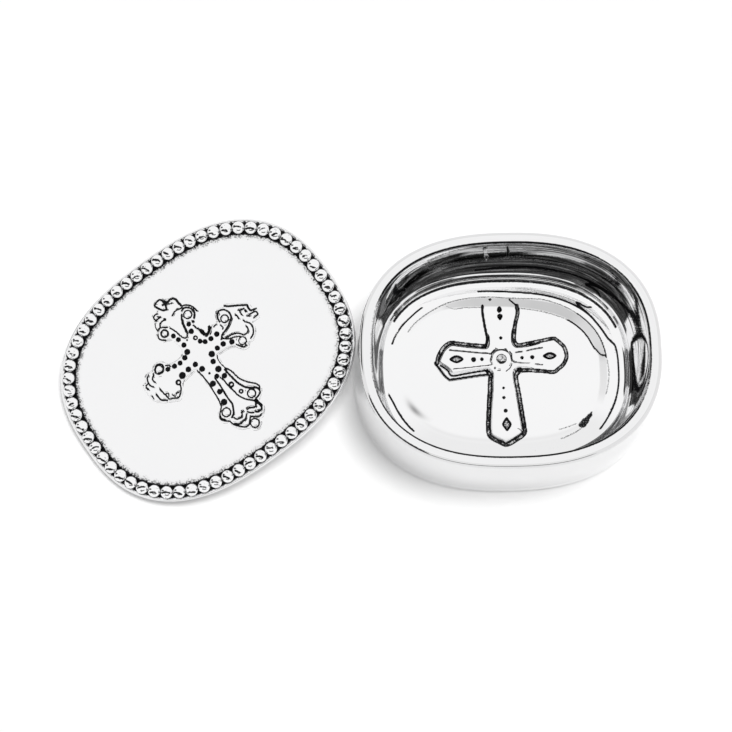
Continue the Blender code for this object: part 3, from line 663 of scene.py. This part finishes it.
LID_BODY = (
    5.2,7, 4.6,9.5, 4,12, 4.2,14, 6,15.5, 7.4,17, 8.2,18.5, 7.8,20.3, 6.5,22, 5,22.8, 4.6,24, 4.3,26, 3.5,27.6,
    1.5,28.2, -.5,28.6, -1.2,30, -2.6,30.4, -4.3,29.8, -5,28.6, -4.4,26.8, -5.4,26.4, -7.6,26, -8,24, -8.8,22.8,
    -9.3,21, -9.6,19.6, -10.6,18.5, -10.6,16.8, -9.5,15.3, -7.5,14.6, -6.3,13.5, -5.7,11.5, -5.3,9, -6.2,6.8,
    -8,6.2, -11,6.3, -13.2,7.3, -14.3,9, -16,10, -18,9.6, -19.4,8.3, -21.3,8.8, -23.4,8, -24.3,6.2, -26,5.6,
    -26.2,2.5, -25.9,0, -25.6,-1.6, -24,-3, -22.3,-4.4, -20.8,-5.2, -18.8,-6.2, -17,-7, -15,-6, -13.4,-4,
    -12.3,-2.6, -10.8,-2, -8,-1.6, -5.8,-1.3, -5.4,-2, -5,-5, -4.8,-9, -4.9,-14, -5.2,-17.5, -6.6,-19.6,
    -8.3,-21.2, -8.8,-22.8, -8,-24.3, -6.4,-25.5, -6,-27.3, -4.9,-29, -3,-30.8, -1,-31.6, 0,-31.4, 0,-32.6,
    1,-33.7, 2.4,-34, 3.9,-33, 4,-31.5, 6.2,-31, 7.9,-29.5, 8.6,-27.5, 8.4,-25.3, 9.5,-24.6, 11,-23.3,
    11.9,-21.5, 11.7,-20, 10.4,-18.2, 8.6,-16, 7.3,-13.5, 6.7,-11, 5.9,-8.8, 4.9,-7, 4.7,-4.5, 5,-2.2, 5.6,-1.6,
    8,-1.7, 10.5,-2, 12.4,-3, 13.6,-4.7, 15,-5.9, 16.8,-6, 18.2,-4.9, 20,-4.7, 22,-3.2, 23.2,-1.2, 23.2,.5,
    24.5,1, 26.8,1.2, 27.6,2.8, 27.8,4.6, 26.4,5.3, 26.3,7.6, 24.5,9, 21.5,10.9, 18.5,12.9, 17.2,12.4,
    15.3,12.9, 13.4,12, 12.5,10.2, 12.2,9, 10,9, 8,8, 6.6,7.2,
)
HEAD_LINES = (
    (.6, -4.3,18.1, -3.6,16.5, -3.1,15, -2.8,13.5, -2.3,12, -1.7,11.3, -1.1,11.1, -.5,11.5, .1,12.8),
    (1, .1,12.8, .4,14, .6,15.5, .9,17), (.7, .9,17, 1.4,18.3, 2.4,19.7), (.6, -6.9,20.3, -5,18.9),
    (.6, -9.7,19, -10.3,17.5, -9.8,16.3, -8.5,15.2), (.5, -9,20.2, -8.9,22, -8.2,23.2),
    (.6, -9,20.2, -7.5,20.6, -6.9,21.5, -6.5,22, -4.5,22.2),
    (.6, -7.2,23.5, -7.4,24, -7.5,25.4, -6.6,25.9, -5.4,25.9), (.6, -7.2,24, -5,23.9, -6,24.8),
    (.8, -4.5,28.8, -4,27.5, -3.4,26.5, -2.8,25.6, -1.5,25, -1,26, -.7,27.5, -1,29.2, -1.7,29.9, -3,29.8,
     -4.2,29.4, -4.5,28.8),
    (.9, -.8,28.8, .3,27.3, 2,27.4, 3.2,26.9, 3.8,26, 3.9,24.5, 4.2,23), (.5, -.5,26.9, 1,26, 2,25.7),
    (.6, -.9,21.6, .3,22.2, 1.7,22.4, 3.2,22, 5,22.3, 6.3,21.5, 7.3,20.3, 7.8,19, 8,17.5),
    (.7, 3.2,21, 4.5,21.3, 5.8,20.6, 6.8,19.3, 7,18, 6.9,17.3, 6.3,16.4, 5.6,15.7),
    (.6, 3.8,13.5, 4,12.5, 4.6,11, 5.2,9.5), (1.3, 4.9,9.8, 5.3,8.2, 6.4,7.5, 7.6,8.2, 8.4,9.4),
)
RIGHT_LINES = (
    (.6, 10,8.2, 11.3,8.5), (.5, 12.5,7.2, 12.9,5.9, 12.3,5.4),
    (.7, 13,8.5, 13.2,10.3, 14,11.5, 15.3,12.1, 16.8,11.5, 17.8,10.2, 18.1,8.8, 17.7,7.2, 16.5,6.2, 14.8,5.1,
     12.8,4.3, 11,3.7, 10.2,2.9, 9.7,2.4),
    (.5, 13.9,12.7, 13.6,12),
    (.8, 18,12.5, 19.5,11.2, 21.3,10.2, 23.2,9, 24.8,7.9, 25.5,7.4, 25.2,6.5, 25.4,5, 26.2,4.6, 27.4,4.3),
    (.7, 19.6,7, 19.9,6, 19.8,5), (.6, 21.6,7, 21.6,5.3), (.6, 21.5,7.9, 22.5,7.3, 23.7,7.1),
    (1, 23.7,6.2, 23.7,5.8),
    (.6, 20.9,3.5, 21.2,2.4, 21.7,1.9, 22.3,1, 22.5,0, 22.3,-1.2, 21.5,-2.7, 20.4,-3.6, 19.3,-4),
    (.6, 10.3,2.5, 11,1.9, 12.5,1.7, 14,1.5, 15.5,1, 16.8,.1, 17.4,-.8, 18.2,-1.6, 19.5,-1.4, 20.3,-.8, 20.6,0,
     20.5,1),
    (.5, 11.3,1.4, 12.5,.7, 14,.2, 15.5,-.5, 16.5,-1.2), (.6, 13.4,-2.8, 14.3,-4.2, 15.2,-5.2, 16.5,-5.4),
    (.4, 4.8,-1.7, 4.2,-3, 4.1,-5, 4.4,-6.5, 4.7,-8, 5.3,-8.7), (.6, 24,3.9, 26.6,3.5, 26.8,2, 24.8,1.8),
    (.6, 23,4, 23.8,3.3),
)
FOOT_LINES = (
    (.6, -5,-2, -4.6,-4, -4.3,-6, -4.2,-9, -4.3,-12, -4.5,-15, -4.6,-16.7, -4.9,-17.5, -5.1,-18.8, -6.2,-20,
     -7.5,-21.2, -8.2,-22.5, -7.8,-23.6, -6.6,-24.8, -5.7,-25.6, -5.4,-27, -4.6,-28.3, -3.4,-29.6, -2.1,-30.8,
     -.5,-31, .6,-30.2, 1.4,-29.2, 2.2,-29, 3.5,-29.9, 4.6,-30.7, 6,-30.4),
    (.7, -1,-8.5, -.9,-12, -1.1,-15, -1.2,-18, -1.1,-20.5, -1.9,-22.5, -2.8,-24, -4.2,-24.8),
    (.6, .9,-9.5, 1.4,-11, 1.6,-13, 1.8,-15, 2.3,-17, 2.6,-19, 3.4,-20.8, 4.5,-22.5, 5.8,-23.8, 7,-24.8),
    (.6, -7.6,-21.5, -7.7,-22.8, -6.8,-24),
    (.8, 4.1,-8, 4.4,-10.5, 4.8,-12.5, 5.1,-14.5, 5.8,-16.5, 6.8,-18.3, 8.3,-19.7, 10,-20.8, 10.6,-21.8),
    (.6, 4.9,-8.2, 5.7,-9.5, 6.2,-11.5, 6.6,-13.7, 7.5,-15.5, 8.5,-17, 9.8,-18.4, 10.9,-19.6, 11.4,-20.9,
     11.2,-21.8),
    (.6, 10.6,-22.3, 10.3,-23.3, 9,-24, 7.9,-24.2, 7,-24.9), (.5, 7.7,-25, 7.9,-26.5, 8.1,-27.8),
    (.7, 2.4,-25.6, 3.8,-25.9, 5,-26.7, 6,-26.5, 6.7,-25.5, 7,-24.9),
    (.8, 7.2,-26, 7.6,-27.5, 7.2,-28.8, 5.5,-29, 4.7,-28.4), (.6, 2,-26.5, 2.8,-27.6, 3.8,-28.3),
    (.6, -3.6,-25.4, -3,-26.5, -1.5,-26.9, -.3,-26.2, 0,-25.4, .9,-25.4),
    (.6, -4.6,-27.3, -3.2,-28.6, -1.5,-28.6, 0,-28.2, 1.2,-27.1),
)
LEFT_LINES = (
    (.6, -14,7, -13,6.5, -12.7,5.7),
    (.6, -18.8,6.9, -18,8.5, -17,9.2, -15.5,8.8, -14.9,7.5, -15.8,6.2, -17,5.9, -18,6.3),
    (.6, -21.7,8, -22.8,7.3, -23.4,6, -23.5,5, -23.4,4, -22.7,3), (.5, -25,5.2, -24,5.4),
    (.8, -25.2,4.5, -25,3.5), (.6, -19.8,7.3, -20.3,6.6, -21.2,6, -21.4,5, -21.2,4), (.5, -25.2,.5, -25.3,-1),
    (.7, -23.4,0, -23.3,-2, -22.8,-3.2, -21.7,-4, -21.3,-4.5),
    (.6, -21,1, -21,0, -20.8,-1.5, -20.4,-3, -20.2,-4.5, -18.8,-5.2, -17,-6.2, -15.5,-5.4, -14.3,-4.2,
     -13.8,-3.3, -13.6,-2.7),
    (.5, -20,-2, -19.3,-2.5, -19.6,-3.3), (.5, -18.3,-4, -17.7,-5), (.5, -17,-4.5, -15.5,-4.5),
)
# Scroll eyes and balls: middle, radius of the dark ring and its width
LID_RINGS = (
    (-7.3, 17.5, 1.4, .8), (4.4, 18.2, 1.6, .6), (15.3, 8.2, 1.5, .6), (16.2, -3, 1.5, .5), (-4.8, -22, 1.7, .6),
    (7.4, -21.8, 1.6, .6), (1.9, -31.8, 1.7, .6), (-17.2, 7.2, 1.7, .5),
)
# Drilled dots along the edges of the arms: place and radius, then those with a bright middle left in
LID_DOTS = (
    (2.6, 14.9, .9), (4.5, 14.8, .5), (1.8, 12, 1), (2.5, 6.7, .9), (4, 5.4, .9), (6.5, 5, .95), (9.4, 5.1, 1),
    (12.5, -.9, 1), (9.3, .5, 1), (6.5, .5, .95), (3.4, -.1, 1.2), (2.2, -2.8, 1), (2.2, -6.4, 1.2), (.1, -8.3, .9),
    (2.7, -9.9, 1), (-4.2, .4, 1), (-3, -2.6, 1.1), (-2.8, -9.8, 1.1), (-2.4, -13.9, 1), (-3.3, -18.2, 1.2),
    (-4, 6.3, 1.1), (-3.6, 9.3, .95), (-4.2, 12.3, .9), (-5, 14.7, .9), (-6.1, 5, 1), (-8.8, 4.4, .9),
    (-11.3, 4.7, .95), (-14.1, 5.3, .9), (-7.5, .4, 1.05), (-10.8, -.1, 1.3), (-1.6, -5.7, .4), (-1.5, 10.1, .3),
    (-4.1, 22, .5), (-1.6, 27.3, .4), (16.4, -4.4, .35), (14.7, -4.7, .35),
)
LID_EYED_DOTS = ((1.7, 8.9, .9), (2.9, -14.3, 1.1), (4.5, -18.7, .9), (-13.6, -1.4, 1.1))


def lid_oval(offset, steps=LID_STEPS):
    return squared_oval(LID_HALF_LENGTH, LID_HALF_WIDTH, LID_SQUARENESS, offset, steps)


def bead_row():
    """Middle and turn of each bead, evenly spaced along the channel."""
    row = lid_oval(BEAD_INSET)
    loop = np.vstack((row, row[0]))
    passed = np.concatenate(((0,), np.cumsum(np.hypot(*np.diff(loop, axis=0).T))))
    along = passed[-1] * np.arange(BEAD_COUNT) / BEAD_COUNT
    here = [np.interp(along, passed, loop[:, side]) for side in (0, 1)]
    ahead = [np.interp(along + 1e-4, passed, loop[:, side]) for side in (0, 1)]
    return np.column_stack((*here, np.arctan2(ahead[1] - here[1], ahead[0] - here[0])))


BEADS = bead_row()


def from_beads(x, y):
    """Distance of each place from the middle of the nearest bead, in millimetres."""
    away = np.full(x.shape, 99.0)
    for bead_x, bead_y, _ in BEADS:
        away = np.minimum(away, np.hypot(x - bead_x, y - bead_y) * 1000)
    return away


def lid_field(x, y):
    """Height, darkness, tarnish and scoring of the lid's field, with its cross."""
    share = np.hypot(x, y) / reach_of(lid_oval(FIELD_EDGE), np.arctan2(y, x))
    height = PLATE + FIELD_DOME * (1 - share * share)
    away = from_beads(x, y)
    dirt = 0.49 + 0.06 * np.cos(np.arctan2(y, x) - 2.2)
    grey = 0.14 * (1 - smooth_step((away - 2.6) / 2.8))
    dark = dirt * (1 - smooth_step((away - 3.1) / 3)) + 0.5 * (1 - smooth_step((away - 2.4) / 0.7))
    x, y = x * 1000, y * 1000
    inside = within(LID_BODY, x, y)
    relief = stroke(inside, 0.9)
    for width, *points in HEAD_LINES + RIGHT_LINES + FOOT_LINES + LEFT_LINES:
        away = away_from(rounded_run(points, False), x, y, 1.2)
        relief -= 0.35 * smooth_step(1.3 - away / width)
        dark = np.maximum(dark, stroke(width / 2 + 0.03 - away))
    for ring_x, ring_y, radius, width in LID_RINGS:
        away = np.hypot(x - ring_x, y - ring_y)
        relief += 0.5 * np.sqrt(np.clip(1 - (away / (radius + 1.1)) ** 2, 0, 1))
        relief -= 0.35 * smooth_step(1.3 - abs(away - radius) / width)
        dark = np.maximum(dark, stroke(width / 2 - abs(away - radius)))
    for dot_x, dot_y, radius in LID_DOTS + LID_EYED_DOTS:
        away = np.hypot(x - dot_x, y - dot_y)
        relief -= 0.6 * smooth_step(1.25 - away / radius)
        dark = np.maximum(dark, stroke(radius + 0.1 - away, 0.4))
    for dot_x, dot_y, radius in LID_EYED_DOTS:
        away = np.hypot(x - dot_x, y - dot_y)
        relief += 0.45 * smooth_step(1.2 - away / (0.5 * radius))
        dark *= 1 - smooth_step(1.5 - away / (0.4 * radius))
    return height + relief / 1000, np.clip(dark, 0, 1), grey, np.zeros(x.shape)


def rounded_corners(sections, radius):
    """Section points with each inner corner eased by a small curve."""
    run = [sections[0]]
    for before, corner, after in zip(sections, sections[1:], sections[2:]):
        before, corner, after = Vector(before), Vector(corner), Vector(after)
        start = corner + (before - corner).normalized() * min(radius, (before - corner).length * 0.45)
        end = corner + (after - corner).normalized() * min(radius, (after - corner).length * 0.45)
        for t in (0, 0.25, 0.5, 0.75, 1):
            run.append(tuple(start * (1 - t) ** 2 + corner * 2 * t * (1 - t) + end * t * t))
    return run + [sections[-1]]


flange = rounded_corners(((-0.0073, 0), (-0.0073, -0.0022), (-0.0053, -0.0022), (-0.0053, 0)), 0.0003)
plate_sections = arc(-PLATE_ROUND, PLATE_ROUND, PLATE_ROUND, -90, 0, 5)
plate_sections += arc(-PLATE_ROUND, PLATE - PLATE_ROUND, PLATE_ROUND, 0, 90, 5)
plate_sections += rounded_corners((
    (-PLATE_ROUND, PLATE), (-0.0013, 0.0024), (BEAD_INSET, 0.0022), (-0.0055, 0.0024), (FIELD_EDGE, PLATE),
), 0.0003)[1:]


def channel_dark(x, y, z):
    """Dark in the channel the beads stand in, but not on the plate's outer edge, and a faint tarnish."""
    outer = reach_of(lid_oval(0), np.arctan2(y, x)) - np.hypot(x, y)
    dark = smooth_step((z - 0.0012) / 0.001) * smooth_step((outer - 0.0012) / 0.0002)
    return dark, np.full(x.shape, 0.06), np.zeros(x.shape)


lid = casting(
    "lid_casting",
    [tray_oval(offset, LID_STEPS) for offset, _ in flange] + [lid_oval(offset) for offset, _ in plate_sections],
    [height for _, height in flange + plate_sections],
    grid_lines(-0.0528, 0.0528, -0.0275, 0.029, LID_GRID),
    grid_lines(-0.0409, 0.0409, -0.0352, 0.0315, LID_GRID),
    lid_field,
    channel_dark,
)
lid.data.materials.append(metal_material(
    "lid_polished_aluminium", bright=(0.92, 0.92, 0.925), gloss=(0.04, 0.12), raggedness=1.1, grain=1800,
    cloud_scale=40, skin_scale=1100, bump=0.05,
))
lid.data.transform(LID_PLACE)
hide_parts("lid")
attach(lid, "lid")


# Bead row: sixty-five round beads cast in one with the lid, side by side in the channel round its edge.
# They are bright on top, where the buffing wheel reached, and dark where they meet.
bead_luck = np.random.default_rng(7)
# A bead is drawn a little flatter than a ball by its normals, and its skirt takes a little of the dark
FLATTER, SKIRT_DARK = 0.72, 0.14


def bead_points(x, y, turn):
    """Rings of one bead, pole up, a little out of round as cast beads are."""
    sides, bands = 28, 20
    squeeze = 1 + bead_luck.uniform(-0.02, 0, 2)
    points = []
    for band in range(1, bands):
        lift = math.pi * (band / bands - 0.5)
        for side in range(sides):
            angle = math.tau * side / sides
            local = Vector((math.cos(angle) * squeeze[0], math.sin(angle) * squeeze[1], 0))
            local = local * math.cos(lift) * BEAD_RADIUS
            local.rotate(Matrix.Rotation(turn, 3, "Z"))
            points.append((x + local.x, y + local.y, BEAD_HEIGHT + math.sin(lift) * BEAD_RADIUS))
    points += [(x, y, BEAD_HEIGHT - BEAD_RADIUS), (x, y, BEAD_HEIGHT + BEAD_RADIUS)]
    faces = []
    for band in range(bands - 2):
        for side in range(sides):
            after = (side + 1) % sides
            near, far = band * sides, (band + 1) * sides
            faces.append((near + side, near + after, far + after, far + side))
    low, high, top = len(points) - 2, len(points) - 1, (bands - 2) * sides
    for side in range(sides):
        after = (side + 1) % sides
        faces += [(low, after, side), (high, top + side, top + after)]
    return points, faces


vertices, faces = [], []
for bead in BEADS:
    points, sides = bead_points(*bead)
    faces += [tuple(len(vertices) + corner for corner in side) for side in sides]
    vertices += points
mesh = bpy.data.meshes.new("lid_bead_row")
mesh.from_pydata(vertices, [], faces)
mesh.shade_smooth()
beads = placed("lid_bead_row", mesh)
per_bead = len(vertices) // BEAD_COUNT
heights = np.array(vertices)[:, 2]
middles = np.repeat(BEADS[:, :2], per_bead, axis=0)
leans = np.column_stack((np.array(vertices)[:, :2] - middles, heights - BEAD_HEIGHT)) / BEAD_RADIUS
tilts = np.arccos(np.clip(leans[:, 2] / np.linalg.norm(leans, axis=1), -1, 1))
spots = leans[:, :2]
outwards = spots / np.maximum(np.hypot(*spots.T), 1e-6)[:, None]
soft = np.where(tilts < 1.6, tilts * FLATTER, tilts)
mesh.normals_split_custom_set_from_vertices(
    np.column_stack((outwards * np.sin(soft)[:, None], np.cos(soft))).tolist()
)
# A small dark dash of painted reflection lies across each crown. Its turn is near level; its place, half
# length and darkness differ from bead to bead
level = LID_PLACE.to_3x3().inverted() @ Vector((1, 0, 0))
reflected_dash_turns = math.atan2(level.y, level.x) + bead_luck.normal(0, 0.28, BEAD_COUNT)
reflected_dashes = [reflected_dash_turns] + [bead_luck.uniform(*span, BEAD_COUNT) for span in ((-0.1, 0.4), (0.3, 0.68), (0.5, 1))]
reflected_dash_turns, reflected_dash_low, reflected_dash_half, reflected_dash_dark = np.repeat(reflected_dashes, per_bead, axis=1)
across = spots[:, 0] * np.cos(reflected_dash_turns) + spots[:, 1] * np.sin(reflected_dash_turns)
down = spots[:, 0] * np.sin(reflected_dash_turns) - spots[:, 1] * np.cos(reflected_dash_turns)
away = np.hypot(np.maximum(abs(across) - reflected_dash_half, 0), down - reflected_dash_low - 0.25 * across ** 2)
reflected_dashes = reflected_dash_dark * smooth_step(1.3 - away / 0.17) * (tilts < 1.4)
skirts = smooth_step((BEAD_HEIGHT - 0.0002 - heights) / 0.001)
# The beads' mark: grain all over, oxide on their lower skirts and the painted reflected dashes
mesh.attributes.new("oxide_painted_shade_and_reflection", "FLOAT", "POINT").data.foreach_set(
    "value", (SKIRT_DARK + np.maximum(skirts, reflected_dashes)).astype(np.float32)
)
mesh.materials.append(metal_material(
    "bead_polished_aluminium", bright=(0.93, 0.93, 0.935), gloss=(0.01, 0.05), raggedness=1.7, grain=900,
    cloud_scale=120, skin_scale=1500, bump=0.08,
))
mesh.transform(LID_PLACE)
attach(beads, "lid")


# Table: a plain white sheet under the box. It keeps the box's soft shadow, and shows white round it
# and in the polished metal.
HALF_SHEET = 3.0
SHEET_GAP = 0.00001
corners = [(x * HALF_SHEET, y * HALF_SHEET, 0) for x, y in ((-1, -1), (1, -1), (1, 1), (-1, 1))]
table_mesh = bpy.data.meshes.new("table")
table_mesh.from_pydata(corners, [], [(0, 1, 2, 3)])
table = placed("table", table_mesh)
table.location.z = -SHEET_GAP
paper = bpy.data.materials.new("white_sheet")
paper.use_nodes = True
tree = paper.node_tree
shader = tree.nodes["Principled BSDF"]
shader.inputs["Base Color"].default_value = (0.88, 0.88, 0.88, 1)
shader.inputs["Roughness"].default_value = 0.9
shader.inputs["Specular IOR Level"].default_value = 0
rays = tree.nodes.new("ShaderNodeLightPath")
seen = math_node(tree, "MAXIMUM", rays.outputs["Is Camera Ray"], rays.outputs["Is Glossy Ray"])
seen = math_node(tree, "MAXIMUM", seen, rays.outputs["Is Transmission Ray"])
shader.inputs["Emission Color"].default_value = (1, 1, 1, 1)
tree.links.new(math_node(tree, "MULTIPLY", seen, 0.17), shader.inputs["Emission Strength"])
table_mesh.materials.append(paper)


# Light: a white studio with one broad lamp overhead, a little behind and to the right, which lays a
# narrow soft shadow at the front. Where the walls mirror each other they show the room's dark openings.
scene = bpy.context.scene
scene.view_settings.view_transform = "Standard"
lamp_data = bpy.data.lights.new("broad_lamp", "SUN")
lamp_data.energy = 2.3
lamp_data.angle = math.radians(22)
lamp = placed("broad_lamp", lamp_data)
lamp.rotation_euler = Vector((0.2, 0.1, 1)).to_track_quat("Z", "Y").to_euler()
lamp.visible_glossy = False

world = bpy.data.worlds.new("white_studio")
scene.world = world
world.use_nodes = True
tree = world.node_tree
backdrop = tree.nodes["Background"]
where = tree.nodes.new("ShaderNodeTexCoord").outputs["Generated"]
axes = tree.nodes.new("ShaderNodeSeparateXYZ")
tree.links.new(where, axes.inputs["Vector"])
drape = math_node(tree, "MULTIPLY_ADD", noise_node(tree, where, 7, 3), 1.2, -0.6)
tilt = math_node(tree, "DEGREES", math_node(tree, "ARCCOSINE", axes.outputs["Z"]))
tilt = math_node(tree, "ADD", tilt, drape)
south = math_node(tree, "MULTIPLY", axes.outputs["Y"], -1)
turn = math_node(tree, "DEGREES", math_node(tree, "ARCTAN2", axes.outputs["X"], south))


def dark_opening(room, turns, turn_soft, tilts, tilt_soft, left):
    """The room's brightness with one more dark opening, which keeps the given share of it.

    turns are in degrees from the front, rising to the right, and tilts from straight up.
    """
    inside = fade_node(tree, turn, turns[0] - turn_soft, turns[0])
    for value, start, end in (
        (turn, turns[1] + turn_soft, turns[1]), (tilt, tilts[0] - tilt_soft, tilts[0]),
        (tilt, tilts[1] + tilt_soft, tilts[1]),
    ):
        inside = math_node(tree, "MULTIPLY", inside, fade_node(tree, value, start, end))
    return math_node(tree, "MULTIPLY", room, math_node(tree, "MULTIPLY_ADD", inside, left - 1, 1))


# Openings that show where one wall mirrors another, and those low down that show at once
ROOM = (
    ((-88, 68), 3, (30.3, 59), 0.7, 0.035),
    ((8, 68), 7, (28.6, 31), 0.6, 0.035),
    ((24, 93), 6, (26, 31), 0.6, 0.035),
    ((62, 93), 3, (24.2, 31), 0.5, 0.06),
    ((66, 94), 3, (30, 44), 0.8, 0.15),
    ((-60, -26), 6, (28.6, 31), 0.6, 0.06),
    ((60, 84), 3, (43, 61.5), 1, 0.035),
    ((-146, -122), 3, (60, 68), 0.6, 0.3),
    ((-88, -8), 5, (58, 61), 1, 0.05),
    ((-98, 22), 6, (19.9, 22.5), 0.4, 0.03),
    ((-82, -24), 8, (23.2, 25.9), 0.5, 0.12),
    ((-20, 10), 10, (24.6, 25.2), 0.4, 0.3),
    ((-129, -104.5), 0.8, (43.5, 57), 0.6, 0.02),
    ((-135, -125), 1.2, (23.8, 26.4), 0.4, 0.02),
    ((-125, -121), 1, (36, 40), 0.6, 0.05),
    ((84, 108), 3, (55.5, 66), 0.8, 0.12),
    ((20, 40), 4, (62, 68.5), 0.6, 0.12),
    ((-38, -24), 3, (62, 67.2), 0.5, 0.15),
    ((-127, -119), 2, (34, 43), 1, 0.08),
    ((150, 181), 3, (62.3, 66.6), 0.4, 0.04),
    ((-181, -155), 3, (62.3, 66.6), 0.4, 0.04),
)
LOW_ROOM = (((-32, 32), 5, (45, 57), 1, 0.03), ((-118, -102), 3, (48, 80), 3, 0.04))
SECOND_MIRROR = 2.5
room = 1
for opening in ROOM:
    room = dark_opening(room, *opening)
# Folds in the dark cloth, pale and dark, which the walls draw out into fine lines
folds = tree.nodes.new("ShaderNodeCombineXYZ")
tree.links.new(math_node(tree, "MULTIPLY", turn, 0.025), folds.inputs["X"])
tree.links.new(tilt, folds.inputs["Y"])
fold = noise_node(tree, folds.outputs["Vector"], 1, 4, 0.65)
pale = math_node(tree, "MULTIPLY", fade_node(tree, fold, 0.5, 0.68), 0.34)
room = math_node(tree, "MULTIPLY_ADD", math_node(tree, "SUBTRACT", 1, room), pale, room)
high_up = math_node(tree, "MULTIPLY", fade_node(tree, tilt, 20, 22), fade_node(tree, tilt, 31, 30))
shade = math_node(tree, "MULTIPLY", math_node(tree, "MULTIPLY", fade_node(tree, fold, 0.5, 0.42), high_up), -0.75)
room = math_node(tree, "MULTIPLY_ADD", room, shade, room)
rays = tree.nodes.new("ShaderNodeLightPath")
again = math_node(tree, "GREATER_THAN", rays.outputs["Ray Depth"], SECOND_MIRROR)
room = math_node(tree, "MULTIPLY_ADD", again, math_node(tree, "SUBTRACT", room, 1), 1)
for opening in LOW_ROOM:
    room = dark_opening(room, *opening)
shown = math_node(tree, "MAXIMUM", rays.outputs["Is Camera Ray"], rays.outputs["Is Transmission Ray"])
mirrored = math_node(tree, "MULTIPLY", rays.outputs["Is Glossy Ray"], room)
unseen = math_node(tree, "SUBTRACT", 1, math_node(tree, "MAXIMUM", shown, rays.outputs["Is Glossy Ray"]))
strength = math_node(tree, "MULTIPLY_ADD", unseen, 0.25, math_node(tree, "ADD", shown, mirrored))
tree.links.new(strength, backdrop.inputs["Strength"])
backdrop.inputs["Color"].default_value = (1, 1, 1, 1)
